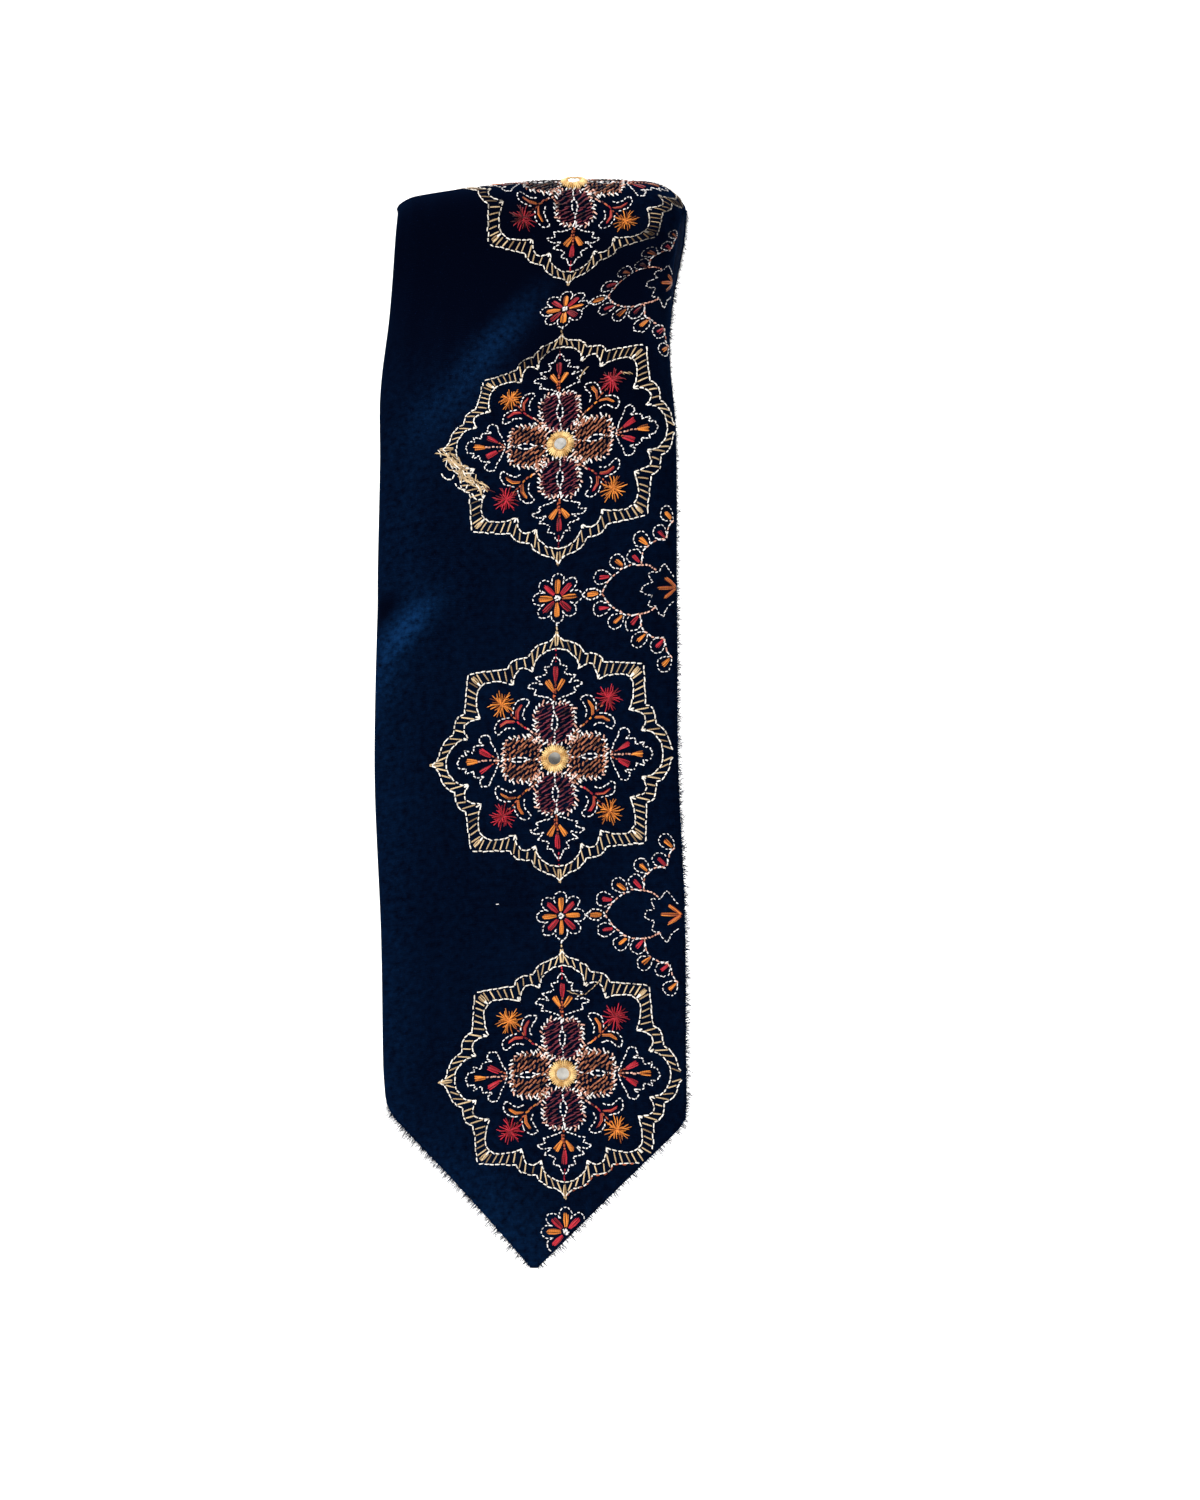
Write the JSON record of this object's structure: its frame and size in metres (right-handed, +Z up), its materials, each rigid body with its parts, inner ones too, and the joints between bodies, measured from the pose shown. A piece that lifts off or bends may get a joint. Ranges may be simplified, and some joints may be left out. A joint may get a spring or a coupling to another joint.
{
  "type": "embroidered velvet crown band",
  "caption": "Strip of dark velvet with pointed ends, laid over the head as a crown band, with embroidered stars and small mirrors in thread rings on its pile side.",
  "frame": {"origin": "on the cloth's underside at the top of the arch, where the crown of the head carries it", "axes": "+Z up, the pictured half hangs on the -Y side and faces -Y, +X to the right of that view"},
  "size_m": [0.1369, 0.1571, 0.482],
  "materials": {
    "velvet": "navy cut-pile velvet with a blue sheen",
    "gold_thread": "wound gold rayon thread, satin",
    "mirror_glass": "polished, slightly hazed",
    "cream_thread": "cream rayon thread, satin",
    "white_thread": "white cotton thread",
    "maroon_thread": "plum rayon thread, satin",
    "copper_thread": "copper brown rayon thread, satin",
    "orange_thread": "orange rayon thread, satin",
    "crimson_thread": "crimson rayon thread, satin"
  },
  "bodies": {
    "root": {"velvet_band": "velvet", "mirror_1": "mirror_glass", "mirror_ring_1": "gold_thread", "mirror_2": "mirror_glass", "mirror_ring_2": "gold_thread", "mirror_3": "mirror_glass", "mirror_ring_3": "gold_thread", "mirror_4": "mirror_glass", "mirror_ring_4": "gold_thread", "mirror_5": "mirror_glass", "mirror_ring_5": "gold_thread", "mirror_6": "mirror_glass", "mirror_ring_6": "gold_thread", "mirror_7": "mirror_glass", "mirror_ring_7": "gold_thread"}
  },
  "joints": []
}
